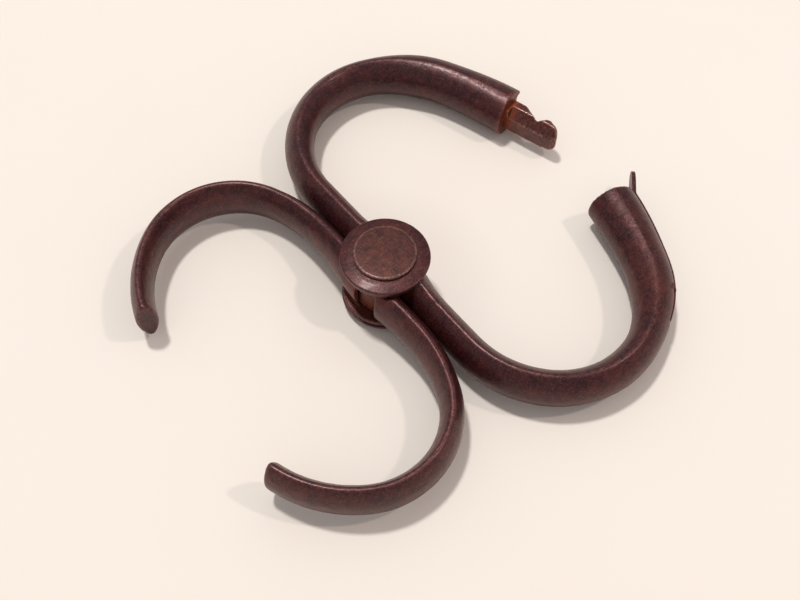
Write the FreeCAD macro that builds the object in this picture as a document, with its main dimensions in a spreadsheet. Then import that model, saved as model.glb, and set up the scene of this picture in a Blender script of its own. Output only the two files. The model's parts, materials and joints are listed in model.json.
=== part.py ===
import FreeCAD, Part

import math
import os

import Sketcher
from FreeCAD import Placement, Rotation, Vector

# Rigid scissor handcuffs, open. Millimetres.
# The pivot axis is Z, and Z = 0 is the flat face of the lower rivet collar.
# +X points from the pivot to the locking loop, and the two bows are mirror images in the XZ plane:
# the inner bow holds the upper large arm (+Y) and the lower small arm, the fork bow the other two.
# Fully closed, the end faces of the large arms meet in the XZ plane turned by half the closing angle.

PARTS = "parts"
os.makedirs(PARTS, exist_ok=True)
doc = FreeCAD.newDocument("handcuffs")

# ---------------------------------------------------------------- driving dimensions

SIZES = {
    # pivot stack, radii and thicknesses
    "pin_radius": 3.6,
    "running_clearance": 0.06,
    "head_radius": 8.1,
    "head_thick": 1.2,
    "head_round": 0.45,
    "flange_radius": 11.5,
    "flange_thick": 1.4,
    "flange_rim": 0.7,
    "ear_radius": 11.2,
    "ear_thick": 1.6,
    "spacer_radius": 7.6,
    "spacer_thick": 0.4,
    "eye_radius": 8.3,
    "eye_thick": 11.7,
    "eye_gap": 0.35,
    "ear_gap": 0.05,
    # forged arms
    "arm_height": 13.6,
    "small_offset": 5.6,
    "large_offset": 2.0,
    "small_root_width": 8.2,
    "large_root_width": 10.6,
    "small_root_lean": 0.7,
    "large_root_lean": 1.25,
    "small_width": 5.8,
    "lock_width": 13.2,
    "lock_height": 13.8,
    "crest": 1.0,
    "lock_crest": 3.0,
    # opening and lock
    "face_angle": 18.2,
    "closing_angle": 36.0,
    "root_angle": 0.7,
    "tongue_inside": 61.3,
    "tongue_outside": 66.3,
    "tongue_height": 7.4,
    "tongue_length": 16.6,
    "tongue_taper": 1.3,
    "notch_depth": 2.3,
    "socket_gap": 0.3,
    "tang_width": 4.2,
    "tang_height": 5.2,
    "tang_length": 10.0,
    "tongue_pin_radius": 1.1,
    "tongue_pin_length": 7.6,
    "tongue_pin_sunk": 0.6,
    "tongue_pin_inset": 3.2,
    "tongue_pin_spacing": 4.2,
    # latch lever
    "lever_length": 30.0,
    "lever_tail": 8.0,
    "lever_thick": 1.4,
    "lever_width": 4.8,
    "lever_proud": 0.2,
    "lever_tail_sunk": 0.4,
    "lever_travel": 3.6,
    "lever_gap": 0.2,
    "latch_pin_radius": 0.8,
    "knuckle_radius": 1.6,
    "knuckle_drop": 1.6,
    "tab_bend": 1.5,
    "tab_length": 7.4,
    "tab_rise": 4.2,
    "tooth_width": 4.0,
    "tooth_stud_radius": 0.9,
    "spring_thick": 0.4,
    "spring_width": 3.6,
    "spring_rivet_radius": 0.7,
}

sheet = doc.addObject("Spreadsheet::Sheet", "sizes")
for row, (alias, value) in enumerate(SIZES.items(), start=1):
    sheet.set("A%d" % row, alias)
    sheet.set("B%d" % row, str(value))
    sheet.setAlias("B%d" % row, alias)
doc.recompute()


def size(alias):
    """The value of one driving dimension, read from the sheet."""
    return float(sheet.get(alias))


def cells(expression):
    """An expression over sheet aliases, such as 'eye_thick / 2', with each alias bound to its cell."""
    words = expression.replace("(", " ( ").replace(")", " ) ").split()
    return " ".join("sizes." + word if word in SIZES else word for word in words)


EYE_LOW = "( head_thick + flange_thick + ear_thick + spacer_thick + ear_gap )"
MID_Z = size("head_thick") + size("flange_thick") + size("ear_thick") + size("spacer_thick")
MID_Z += size("ear_gap") + size("eye_thick") / 2

# ---------------------------------------------------------------- small helpers


def polar(radius, degrees, z=0.0):
    angle = math.radians(degrees)
    return Vector(radius * math.cos(angle), radius * math.sin(angle), z)


def box_at(origin, heading, length, width, height):
    """A box that starts at origin and runs along heading, centred on it in width and height."""
    box = Part.makeBox(length, width, height, Vector(0, -width / 2, -height / 2))
    box.Placement = Placement(origin, Rotation(Vector(0, 0, 1), heading))
    return box


def extruded(wire, low, high):
    """The plan outline wire, drawn at z = 0, as a solid between two heights."""
    face = Part.Face(wire)
    face.translate(Vector(0, 0, low))
    return face.extrude(Vector(0, 0, high - low))


def ring_sector(inside, outside, start, end, height):
    """A sector of a ring about the pivot axis, centred on the middle height."""
    middle = (start + end) / 2
    edges = [
        Part.Arc(polar(outside, start), polar(outside, middle), polar(outside, end)).toShape(),
        Part.makeLine(polar(outside, end), polar(inside, end)),
        Part.Arc(polar(inside, end), polar(inside, middle), polar(inside, start)).toShape(),
        Part.makeLine(polar(inside, start), polar(outside, start)),
    ]
    return extruded(Part.Wire(edges), MID_Z - height / 2, MID_Z + height / 2)


def feature(name, shape):
    """A sub-part whose form neither a body nor primitives can hold."""
    piece = doc.addObject("Part::Feature", name)
    piece.Label = name
    piece.Shape = shape
    piece.Placement = shape.Placement
    return piece


def cylinder(name, radius, height, base_z):
    """A cylinder about the pivot axis, bound to the sheet."""
    piece = doc.addObject("Part::Cylinder", name)
    piece.setExpression("Radius", cells(radius))
    piece.setExpression("Height", cells(height))
    piece.setExpression("Placement.Base.z", cells(base_z))
    return piece


def fuse(name, pieces):
    joined = doc.addObject("Part::MultiFuse", name)
    joined.Label = name
    joined.Shapes = pieces
    return joined


def cut(name, base, tools):
    """base less every tool, as one Part::Cut."""
    tool = tools[0]
    if len(tools) > 1:
        tool = fuse(name + "_tools", tools)
    result = doc.addObject("Part::Cut", name)
    result.Label = name
    result.Base = base
    result.Tool = tool
    return result


def origin_plane(body, role):
    return [item for item in body.Origin.OriginFeatures if item.Role == role][0]


def turned_body(name, profile):
    """A body of revolution about Z. The profile's corners are (radius, height) expressions;
    None stands for zero."""
    body = doc.addObject("PartDesign::Body", name)
    body.Label = name
    sketch = body.newObject("Sketcher::SketchObject", name + "_profile")
    sketch.AttachmentSupport = [(origin_plane(body, "XZ_Plane"), "")]
    sketch.MapMode = "FlatFace"
    values = [[0.0 if cell is None else value_of(cell) for cell in corner] for corner in profile]
    corners = [Vector(radius, height, 0) for radius, height in values]
    count = len(corners)
    for index, corner in enumerate(corners):
        sketch.addGeometry(Part.LineSegment(corner, corners[(index + 1) % count]))
    for index in range(count):
        sketch.addConstraint(Sketcher.Constraint("Coincident", index, 2, (index + 1) % count, 1))
    for index, (radius, height) in enumerate(profile):
        pin_down(sketch, index, "DistanceX", -2, radius)
        pin_down(sketch, index, "DistanceY", -1, height)
    turn = body.newObject("PartDesign::Revolution", name + "_turn")
    turn.Profile = sketch
    turn.ReferenceAxis = (sketch, ["V_Axis"])
    turn.Angle = 360.0
    return body


def pin_down(sketch, corner, kind, axis, cell):
    """Hold one corner of a sketch on an axis, or at a distance bound to the sheet."""
    if cell is None:
        sketch.addConstraint(Sketcher.Constraint("PointOnObject", corner, 1, axis))
        return
    number = sketch.addConstraint(Sketcher.Constraint(kind, -1, 1, corner, 1, value_of(cell)))
    sketch.setExpression("Constraints[%d]" % number, cells(cell))


def value_of(expression):
    """The present value of an expression over sheet aliases."""
    return float(sheet.evalExpression(cells(expression)))

# ---------------------------------------------------------------- forged arms

# An arm's middle line runs straight from the pivot, then through arcs of (radius, turn in degrees).
SMALL_STRAIGHT = 19.0
SMALL_ARCS = [(40.7, 25.0), (21.8, 98.0), (33.0, 42.0)]
LARGE_STRAIGHT = 30.5
LARGE_ARCS = [(28.0, 46.0), (25.0, 68.0), (32.0, 41.0), (108.0, 13.0)]
SECTION_STEP = 7.0
END_ROUND = 0.7

HALF_HEIGHT = size("arm_height") / 2
ROOT_HALF_HEIGHT = MID_Z - size("head_thick") - size("flange_thick") - 0.2
SMALL_HALF_WIDTH = [(0, size("small_root_width") / 2), (16, 3.4), (48, 3.0), (98, size("small_width") / 2)]
LARGE_HALF_WIDTH = [(0, size("large_root_width") / 2), (17, 4.0), (55, 4.1), (79, 4.3), (102, 5.8)]
LARGE_HALF_WIDTH += [(126, size("lock_width") / 2)]
PLAIN_HEIGHT = [(0, HALF_HEIGHT), (80, HALF_HEIGHT), (126, size("lock_height") / 2)]
FORKED_HEIGHT = [(0, ROOT_HALF_HEIGHT), (11, ROOT_HALF_HEIGHT), (23, HALF_HEIGHT)] + PLAIN_HEIGHT[1:]
SMALL_LEAN = [(0, size("small_root_lean")), (16, 0)]
LARGE_LEAN = [(0, -size("large_root_lean")), (17, 0)]
SMALL_CREST = [(0, size("crest")), (98, size("crest"))]
LARGE_CREST = [(0, size("crest")), (80, size("crest")), (126, size("lock_crest"))]


def between(table, distance):
    """A smooth value between the rows (distance, value) of a short table."""
    if distance <= table[0][0]:
        return table[0][1]
    for (start, low), (end, high) in zip(table, table[1:]):
        if distance <= end:
            part = (distance - start) / (end - start)
            return low + (high - low) * (1 - math.cos(math.pi * part)) / 2
    return table[-1][1]


def path_length(straight, arcs):
    return straight + sum(radius * math.radians(turn) for radius, turn in arcs)


def path_point(start_x, straight, arcs, left, distance):
    """The point and heading (degrees) of an arm's middle line, for an arm above the X axis."""
    x, y, heading = start_x, min(distance, straight), 90.0
    rest = distance - straight
    side = 1 if left else -1
    for radius, turn in arcs:
        if rest <= 0:
            break
        swept = min(turn, math.degrees(rest / radius))
        before = math.radians(heading)
        after = math.radians(heading + side * swept)
        x += side * radius * (math.sin(after) - math.sin(before))
        y -= side * radius * (math.cos(after) - math.cos(before))
        heading += side * swept
        rest -= radius * math.radians(turn)
    return x, y, heading


def small_point(distance):
    return path_point(-size("small_offset"), SMALL_STRAIGHT, SMALL_ARCS, True, distance)


def large_point(distance):
    return path_point(size("large_offset"), LARGE_STRAIGHT, LARGE_ARCS, False, distance)


def forged_section(place, half_width, half_height, crest, lean_out, mirror):
    """The arm's section across its middle line: two flank arcs that meet in rounded crests.
    Near the pivot the section leans out sideways, so that the arm flares into its disc."""
    x, y, heading = place
    across = Vector(-math.sin(math.radians(heading)), mirror * math.cos(math.radians(heading)), 0)
    centre = Vector(x, mirror * y, MID_Z) + across * lean_out
    up = Vector(0, 0, 1)
    top = half_height - crest
    flank = (half_width ** 2 + top ** 2 - crest ** 2) / (2 * (half_width - crest))
    lean = math.atan2(top, flank - half_width)
    join_x = (flank * math.cos(lean)) - (flank - half_width)
    join_z = flank * math.sin(lean)

    def at(offset, height):
        return centre + across * offset + up * height

    corners = [(join_x, join_z), (-join_x, join_z), (-join_x, -join_z), (join_x, -join_z)]
    middles = [(0, half_height), (-half_width, 0), (0, -half_height), (half_width, 0)]
    edges = []
    for index, middle in enumerate(middles):
        start = corners[index]
        end = corners[(index + 1) % 4]
        edges.append(Part.Arc(at(*start), at(*middle), at(*end)).toShape())
    return Part.Wire(edges)


def forged_arm(point, length, tables, mirror):
    """One arm, lofted through its sections. The tables give width, height, crest and lean."""
    steps = math.ceil(length / SECTION_STEP)
    sections = []
    for step in range(steps + 1):
        distance = length * step / steps
        values = [between(table, distance) for table in tables]
        sections.append(forged_section(point(distance), *values, mirror))
    return Part.makeLoft(sections, True, False)


def small_arm(heights, mirror):
    """The small arm, with the rim of its end face rounded."""
    length = path_length(SMALL_STRAIGHT, SMALL_ARCS)
    arm = forged_arm(small_point, length, (SMALL_HALF_WIDTH, heights, SMALL_CREST, SMALL_LEAN), mirror)
    x, y, _ = small_point(length)
    tip = Vector(x, mirror * y, MID_Z)
    end_face = min(arm.Faces, key=lambda face: (face.CenterOfMass - tip).Length)
    return arm.makeFillet(END_ROUND, end_face.Edges)


def large_arm(heights, mirror):
    """The large arm, cut off along the plane through the pivot axis where the two arms meet."""
    length = path_length(LARGE_STRAIGHT, LARGE_ARCS)
    arm = forged_arm(large_point, length, (LARGE_HALF_WIDTH, heights, LARGE_CREST, LARGE_LEAN), mirror)
    beyond = box_at(polar(0, 0, MID_Z), 0, 120, 60, 40)
    beyond.translate(Vector(0, -30, 0))
    beyond.rotate(Vector(0, 0, 0), Vector(0, 0, 1), size("face_angle"))
    if mirror < 0:
        beyond = beyond.mirror(Vector(0, 0, 0), Vector(0, 1, 0))
    return arm.cut(beyond.common(Part.makeBox(80, 160, 40, Vector(30, -80, -10))))


# ---------------------------------------------------------------- lock geometry

LOCK_RADIUS = (size("tongue_inside") + size("tongue_outside")) / 2
SOCKET_INSIDE = size("tongue_inside") - size("socket_gap")
SOCKET_OUTSIDE = size("tongue_outside") + size("socket_gap")
SOCKET_DEPTH = size("tongue_length") + 0.7
NOTCH_FLOOR = size("tongue_outside") - size("notch_depth")
TOOTH_REST = size("tongue_outside") + 0.12
TOOTH_MOUTH_SIDE = 7.2
TOOTH_DEEP_SIDE = 8.4
TOOTH_SLOPE = 1.6
TAPER_START = 6.0
NOTCH_ROUND = 0.45
TONGUE_RIM_ROUND = 0.6


def face_distance():
    """How far along the large arm its middle line meets the end face's plane."""
    distance = path_length(LARGE_STRAIGHT, LARGE_ARCS)
    while True:
        x, y, _ = large_point(distance)
        past = LOCK_RADIUS * (math.radians(size("face_angle")) - math.atan2(y, x))
        if past < 0.001:
            return distance
        distance -= past


FACE_DISTANCE = face_distance()


def along(distance):
    """The angle that an arc length along the tongue's circle spans."""
    return math.degrees(distance / LOCK_RADIUS)


def tongue_angle(distance):
    """The polar angle at a distance out of the upper arm's end face."""
    return size("face_angle") - along(distance)


def socket_angle(distance):
    """The polar angle at a depth into the socket arm's end face."""
    return -size("face_angle") - along(distance)


def flank(distance, offset):
    """A point on the socket arm's outer flank, moved outwards by offset."""
    x, y, heading = large_point(distance)
    reach = between(LARGE_HALF_WIDTH, distance) + offset
    turn = math.radians(heading)
    return Vector(x - reach * math.sin(turn), -(y + reach * math.cos(turn)), 0)


def flank_normal(distance):
    heading = math.radians(large_point(distance)[2])
    return Vector(-math.sin(heading), -math.cos(heading), 0)


def flank_curve(start, end, offset_start, offset_end):
    """A smooth edge along the outer flank."""
    count = 6
    points = []
    for index in range(count):
        part = index / (count - 1)
        offset = offset_start + (offset_end - offset_start) * part
        points.append(flank(start + (end - start) * part, offset))
    curve = Part.BSplineCurve()
    curve.interpolate(points)
    return curve.toShape()


PIVOT_DISTANCE = FACE_DISTANCE - size("lever_length")
KNUCKLE = flank(PIVOT_DISTANCE, -size("knuckle_drop"))
LEVER_UNDER = size("lever_proud") - size("lever_thick")
FRONT_DROP = size("lever_length") * math.sin(math.radians(size("lever_travel")))
POCKET_FLOOR = -2.9


def latch_lever():
    """The strip along the outer flank, with its knuckle, tail and bent thumb tab."""
    tail = PIVOT_DISTANCE - size("lever_tail")
    bend = FACE_DISTANCE - size("tab_bend")
    proud = size("lever_proud")
    outer = flank_curve(tail, bend, proud - size("lever_tail_sunk"), proud)
    under = flank_curve(tail, bend, LEVER_UNDER, LEVER_UNDER)
    tail_end = Part.makeLine(flank(tail, LEVER_UNDER), flank(tail, proud - size("lever_tail_sunk")))
    forward = Vector(flank_normal(bend).y * -1, flank_normal(bend).x, 0)
    sweep = forward * size("tab_length") + flank_normal(bend) * size("tab_rise")
    lean = sweep / sweep.Length
    out = Vector(lean.y, -lean.x, 0)
    outer_tip = flank(bend, proud) + sweep
    under_tip = outer_tip - out * (size("lever_thick") * 0.8)
    round_tip = (outer_tip + under_tip) / 2 + lean * (size("lever_thick") * 0.4)
    tab = [
        Part.makeLine(flank(bend, proud), outer_tip),
        Part.Arc(outer_tip, round_tip, under_tip).toShape(),
        Part.makeLine(under_tip, flank(bend, LEVER_UNDER)),
    ]
    low = MID_Z - size("lever_width") / 2
    high = MID_Z + size("lever_width") / 2
    strip = extruded(Part.Wire([outer] + tab + [under, tail_end]), low, high)
    knuckle = Part.makeCylinder(size("knuckle_radius"), high - low, Vector(KNUCKLE.x, KNUCKLE.y, low))
    bore_radius = size("latch_pin_radius") + size("running_clearance")
    bore = Part.makeCylinder(bore_radius, high - low, Vector(KNUCKLE.x, KNUCKLE.y, low))
    return strip.fuse(knuckle).cut(bore)


def lever_pocket():
    """The recess that the lever, its spring and its knuckle lie in."""
    gap = size("lever_gap")
    tail = PIVOT_DISTANCE - size("lever_tail") - 2 * gap
    front = FACE_DISTANCE + 4
    start = PIVOT_DISTANCE + size("knuckle_radius")
    low = MID_Z - size("lever_width") / 2 - gap
    high = MID_Z + size("lever_width") / 2 + gap
    floor = LEVER_UNDER - gap
    drop = FRONT_DROP * (front - start) / size("lever_length") + 2 * gap
    ramp = flank_curve(start, front, floor, floor - drop)
    outline = [
        flank(front, floor - drop), flank(front, 6), flank(PIVOT_DISTANCE, 6), flank(tail, 6),
        flank(tail, POCKET_FLOOR), flank(PIVOT_DISTANCE, POCKET_FLOOR), flank(start, floor),
    ]
    edges = [Part.makeLine(one, two) for one, two in zip(outline, outline[1:])]
    pocket = extruded(Part.Wire(edges + [ramp]), low, high)
    room = Part.makeCylinder(size("knuckle_radius") + 0.2, high - low, Vector(KNUCKLE.x, KNUCKLE.y, low))
    return pocket.fuse(room)


def tooth_outline(inner):
    """The catch tooth in plan, from its tip radius outwards; its mouth side slopes."""
    outer = inner + 4.5
    corners = [
        polar(inner, socket_angle(TOOTH_DEEP_SIDE)),
        polar(outer, socket_angle(TOOTH_DEEP_SIDE)),
        polar(outer, socket_angle(TOOTH_MOUTH_SIDE - TOOTH_SLOPE)),
        polar(inner + 2.2, socket_angle(TOOTH_MOUTH_SIDE - TOOTH_SLOPE)),
        polar(inner, socket_angle(TOOTH_MOUTH_SIDE)),
    ]
    return Part.makePolygon(corners + corners[:1])


def tongue_socket():
    """The tongue's room in the socket arm, tapered like the tongue so that the inner wall stays whole."""
    mouth = socket_angle(-3)
    taper_start = socket_angle(TAPER_START)
    deep = socket_angle(SOCKET_DEPTH)
    inside = SOCKET_INSIDE
    deep_in = polar(inside + size("tongue_taper"), deep)
    edges = [
        Part.Arc(polar(SOCKET_OUTSIDE, deep), polar(SOCKET_OUTSIDE, (deep + mouth) / 2),
                 polar(SOCKET_OUTSIDE, mouth)).toShape(),
        Part.makeLine(polar(SOCKET_OUTSIDE, mouth), polar(inside, mouth)),
        Part.Arc(polar(inside, mouth), polar(inside, (mouth + taper_start) / 2),
                 polar(inside, taper_start)).toShape(),
        Part.makeLine(polar(inside, taper_start), deep_in),
        Part.makeLine(deep_in, polar(SOCKET_OUTSIDE, deep)),
    ]
    half = size("tongue_height") / 2 + size("socket_gap")
    return extruded(Part.Wire(edges), MID_Z - half, MID_Z + half)


def tooth_window():
    """The opening in the socket's outer wall that the tooth passes through."""
    room = 0.6
    start = socket_angle(TOOTH_DEEP_SIDE + room)
    end = socket_angle(TOOTH_MOUTH_SIDE - TOOTH_SLOPE - room)
    height = size("tooth_width") + 2 * size("lever_gap")
    return ring_sector(LOCK_RADIUS, SOCKET_OUTSIDE + 3, start, end, height)


def tooth_stud(radius):
    """The tooth's riveted stud, through the lever."""
    depth = (TOOTH_DEEP_SIDE + TOOTH_MOUTH_SIDE - TOOTH_SLOPE) / 2
    base = polar(SOCKET_OUTSIDE + 1, socket_angle(depth), MID_Z)
    return Part.makeCylinder(radius, 8, base, polar(1, socket_angle(depth)))


def at_root(edge):
    """Whether an edge of the tongue lies in the arm's end face."""
    turns = [math.degrees(math.atan2(vertex.Y, vertex.X)) for vertex in edge.Vertexes]
    return all(abs(turn - size("face_angle")) < 0.01 for turn in turns)


def tongue_shape():
    """The notched tongue: a bar on a circle about the pivot axis, with a tang behind it."""
    inside = size("tongue_inside")
    outside = size("tongue_outside")
    nib = [
        polar(outside, tongue_angle(4.2)),
        polar(NOTCH_FLOOR, tongue_angle(8.7)),
        polar(NOTCH_FLOOR, tongue_angle(9.4)),
        polar(outside - 0.1, tongue_angle(10.9)),
        polar(outside - 0.6, tongue_angle(13.0)),
    ]
    tip = polar(LOCK_RADIUS, tongue_angle(size("tongue_length")))
    tip_in = polar(inside + size("tongue_taper"), tongue_angle(size("tongue_length") - 0.9))
    taper_start = polar(inside, tongue_angle(TAPER_START))
    root_out = polar(outside, tongue_angle(0))
    root_in = polar(inside, tongue_angle(0))
    edges = [Part.Arc(root_out, polar(outside, tongue_angle(2.1)), nib[0]).toShape()]
    edges += [Part.makeLine(one, two) for one, two in zip(nib, nib[1:])]
    edges.append(Part.Arc(nib[-1], polar(outside - 1.5, tongue_angle(14.8)), tip).toShape())
    edges.append(Part.makeLine(tip, tip_in))
    edges.append(Part.makeLine(tip_in, taper_start))
    edges.append(Part.Arc(taper_start, polar(inside, tongue_angle(TAPER_START / 2)), root_in).toShape())
    edges.append(Part.makeLine(root_in, root_out))
    half = size("tongue_height") / 2
    bar = extruded(Part.Wire(edges), MID_Z - half, MID_Z + half)
    uprights = []
    for edge in bar.Edges:
        vertical = abs(edge.BoundBox.ZLength - 2 * half) < 0.01 and edge.BoundBox.XLength < 0.01
        spot = edge.BoundBox.Center
        near = min((Vector(spot.x, spot.y, 0) - corner).Length for corner in nib[:4])
        if vertical and near < 0.01:
            uprights.append(edge)
    bar = bar.makeFillet(NOTCH_ROUND, uprights)
    rims = [edge for edge in bar.Edges if edge.BoundBox.ZLength < 0.01 and not at_root(edge)]
    return bar.makeFillet(TONGUE_RIM_ROUND, rims).fuse(tang())


def tang():
    """The tongue's tang, set straight back into the arm from its end face."""
    base = polar(LOCK_RADIUS, size("face_angle"), MID_Z)
    return box_at(base, size("face_angle") + 90, size("tang_length"), size("tang_width"), size("tang_height"))


def tongue_pins(length):
    """The two cross pins through the arm and the tang, as cylinders up from the arm's underside."""
    heading = size("face_angle") + 90
    root = polar(LOCK_RADIUS, size("face_angle"))
    top = MID_Z - HALF_HEIGHT + size("tongue_pin_sunk") + size("tongue_pin_length")
    pins = []
    for index in range(2):
        inset = size("tongue_pin_inset") + index * size("tongue_pin_spacing")
        base = root + polar(inset, heading) + Vector(0, 0, top - length)
        pins.append(Part.makeCylinder(size("tongue_pin_radius"), length, base))
    return Part.makeCompound(pins)


# ---------------------------------------------------------------- the pivot stack

STACK = "( head_thick + flange_thick + ear_thick )"
EYE_TOP = EYE_LOW + " + eye_thick"
STOP_REACH = 22.0
STOP_START = 160.0
PIN_HOLE_MOUTH = 3.0
WHOLE = "2 * " + EYE_LOW + " + eye_thick"

pivot_pin = turned_body("pivot_pin", [
    (None, None),
    ("pin_radius", None),
    ("pin_radius", WHOLE + " - head_thick"),
    ("head_radius", WHOLE + " - head_thick"),
    ("head_radius", WHOLE + " - head_round"),
    ("head_radius - head_round", WHOLE),
    (None, WHOLE),
])
pivot_collar = turned_body("pivot_collar", [
    ("pin_radius", None),
    ("head_radius - head_round", None),
    ("head_radius", "head_round"),
    ("head_radius", "head_thick"),
    ("pin_radius", "head_thick"),
])
flange_profile = [
    ("pin_radius", None),
    ("flange_radius", None),
    ("flange_radius", "flange_rim"),
    ("head_radius", "flange_thick"),
    ("pin_radius", "flange_thick"),
]
flange_washer_top = turned_body("flange_washer_top", flange_profile)
flange_washer_top.setExpression("Placement.Base.z", cells(WHOLE + " - head_thick - flange_thick"))
flange_washer_bottom = turned_body("flange_washer_bottom", flange_profile)
flange_washer_bottom.Placement = Placement(Vector(0, 0, 0), Rotation(Vector(1, 0, 0), 180))
flange_washer_bottom.setExpression("Placement.Base.z", cells("head_thick + flange_thick"))
spacer_profile = [
    ("pin_radius + running_clearance", None),
    ("spacer_radius", None),
    ("spacer_radius", "spacer_thick"),
    ("pin_radius + running_clearance", "spacer_thick"),
]
spacer_bottom = turned_body("spacer_bottom", spacer_profile)
spacer_bottom.setExpression("Placement.Base.z", cells(STACK))
spacer_top = turned_body("spacer_top", spacer_profile)
spacer_top.setExpression("Placement.Base.z", cells(EYE_TOP + " + ear_gap"))

# ---------------------------------------------------------------- the inner bow

meeting_cut = ring_sector(size("eye_radius") + size("eye_gap"), STOP_REACH, -size("face_angle"),
                          size("face_angle"), 2 * MID_Z)
inner_arms = feature("inner_bow_arms",
                     large_arm(PLAIN_HEIGHT, 1).cut(meeting_cut).fuse(small_arm(PLAIN_HEIGHT, -1)))
eye = cylinder("eye", "eye_radius", "eye_thick", EYE_LOW)
ear_room_low = cylinder("ear_room_low", "ear_radius + eye_gap", EYE_LOW, "0")
ear_room_high = cylinder("ear_room_high", "ear_radius + eye_gap", EYE_LOW, EYE_TOP)
eye_bore = cylinder("eye_bore", "pin_radius + running_clearance", WHOLE, "0")
stop_end = 180 + size("closing_angle") + size("root_angle")
root_stop = feature("root_stop", ring_sector(size("eye_radius"), STOP_REACH, STOP_START, stop_end, 2 * MID_Z))
tang_room = feature("tang_room", tang())
pin_holes = tongue_pins(size("tongue_pin_length") + PIN_HOLE_MOUTH)
pin_drill = feature("pin_drill", pin_holes)


def tab_relief():
    """The slot on the upper arm's end that the thumb tab drops into when the cuffs are locked."""
    half = size("lever_width") / 2 + 0.35
    depth = 2.5
    reach = 8.0
    end = polar(flank(FACE_DISTANCE, 0).Length, size("face_angle"))
    back = polar(1, size("face_angle") + 90)
    out = polar(1, size("face_angle"))
    corners = [end - out * depth - back, end - out * depth, end + back * reach, end + back * reach + out * 4]
    corners.append(end - back + out * 4)
    return extruded(Part.makePolygon(corners + corners[:1]), MID_Z - half, MID_Z + half)


relief = feature("tab_relief", tab_relief())
inner_solid = fuse("inner_bow_forging", [inner_arms, eye])
inner_bow = cut("inner_bow", inner_solid,
                [ear_room_low, ear_room_high, eye_bore, root_stop, tang_room, pin_drill, relief])
tongue = feature("tongue", tongue_shape().cut(pin_holes))
pins = feature("tongue_pins", tongue_pins(size("tongue_pin_length")))

# ---------------------------------------------------------------- the fork bow

fork_arms = feature("fork_bow_arms",
                    large_arm(FORKED_HEIGHT, -1).cut(meeting_cut).fuse(small_arm(FORKED_HEIGHT, 1)))
ear_low = cylinder("ear_low", "ear_radius", "ear_thick", "head_thick + flange_thick")
ear_high = cylinder("ear_high", "ear_radius", "ear_thick", EYE_TOP + " + ear_gap + spacer_thick")
eye_room = cylinder("eye_room", "eye_radius + eye_gap", "eye_thick + 2 * ( ear_gap + spacer_thick )", STACK)
ear_bore = cylinder("ear_bore", "pin_radius", WHOLE, "0")
socket = feature("socket", tongue_socket())
pocket = feature("pocket", lever_pocket())
window = feature("window", tooth_window())


def latch_pin(radius, half_length):
    base = Vector(KNUCKLE.x, KNUCKLE.y, MID_Z - half_length)
    return Part.makeCylinder(radius, 2 * half_length, base)


LATCH_PIN_HALF = 4.7
SPRING_FOOT = PIVOT_DISTANCE - 3.9


def spring_rivet(stud_depth):
    """The rivet that holds the leaf spring's foot to the pocket's floor."""
    normal = flank_normal(SPRING_FOOT)
    seat = flank(SPRING_FOOT, POCKET_FLOOR) + Vector(0, 0, MID_Z)
    stud = Part.makeCylinder(size("spring_rivet_radius"), stud_depth + size("spring_thick"),
                             seat - normal * stud_depth, normal)
    head = Part.makeCylinder(1.2, 0.4, seat + normal * size("spring_thick"), normal)
    return stud.fuse(head)


def leaf_spring():
    """A bent strip: a foot on the pocket's floor and a free end under the lever's tail."""
    thick = size("spring_thick")
    foot = PIVOT_DISTANCE - 2.4
    bend = PIVOT_DISTANCE - 5.4
    free = PIVOT_DISTANCE - 7.6
    rise = LEVER_UNDER - 0.05
    corners = [flank(foot, POCKET_FLOOR), flank(bend, POCKET_FLOOR), flank(free, rise - thick)]
    corners += [flank(free, rise), flank(bend, POCKET_FLOOR + thick), flank(foot, POCKET_FLOOR + thick)]
    half = size("spring_width") / 2
    return extruded(Part.makePolygon(corners + corners[:1]), MID_Z - half, MID_Z + half)


rivet = spring_rivet(2.0)
latch_drill = feature("latch_drill", latch_pin(size("latch_pin_radius"), 8))
rivet_drill = feature("rivet_drill", rivet)
fork_solid = fuse("fork_bow_forging", [fork_arms, ear_low, ear_high])
fork_bow = cut("fork_bow", fork_solid, [eye_room, ear_bore, socket, pocket, window, latch_drill, rivet_drill])
latch_pivot_pin = feature("latch_pivot_pin", latch_pin(size("latch_pin_radius"), LATCH_PIN_HALF))
spring_rivet_piece = feature("spring_rivet", rivet)
latch_spring = feature("latch_spring", leaf_spring().cut(rivet))

# ---------------------------------------------------------------- the latch

lever_shape = latch_lever()
stud = tooth_stud(size("tooth_stud_radius"))
half_tooth = size("tooth_width") / 2
tooth_block = extruded(tooth_outline(TOOTH_REST), MID_Z - half_tooth, MID_Z + half_tooth)
above = lever_shape.copy()
above.translate(flank_normal(FACE_DISTANCE - 7) * size("lever_thick") * 0.98)
tooth_shape = tooth_block.cut(lever_shape).cut(above)
lever_piece = feature("latch_lever", lever_shape.cut(stud))
tooth_piece = feature("catch_tooth", tooth_shape.fuse(stud.common(lever_shape)))

# ---------------------------------------------------------------- check and write

NODES = [
    inner_bow, fork_bow, pivot_pin, pivot_collar, flange_washer_top, flange_washer_bottom, spacer_top,
    spacer_bottom, tongue, pins, lever_piece, tooth_piece, latch_pivot_pin, latch_spring, spring_rivet_piece,
]
doc.recompute()
failed = [item.Name for item in doc.Objects if "Invalid" in item.State or "Error" in item.State]
if failed:
    raise SystemExit("failed: " + ", ".join(failed))
for node in NODES:
    if node.Shape.isNull() or not node.Shape.isValid():
        raise SystemExit("bad shape: " + node.Label)
for node in NODES:
    node.Shape.exportStep(os.path.join(PARTS, node.Label + ".step"))
    print(node.Label, len(node.Shape.Solids), round(node.Shape.Volume, 1))
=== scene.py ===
import json
import math

import bmesh
import bpy
import numpy as np
from mathutils import Matrix, Vector, noise


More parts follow.
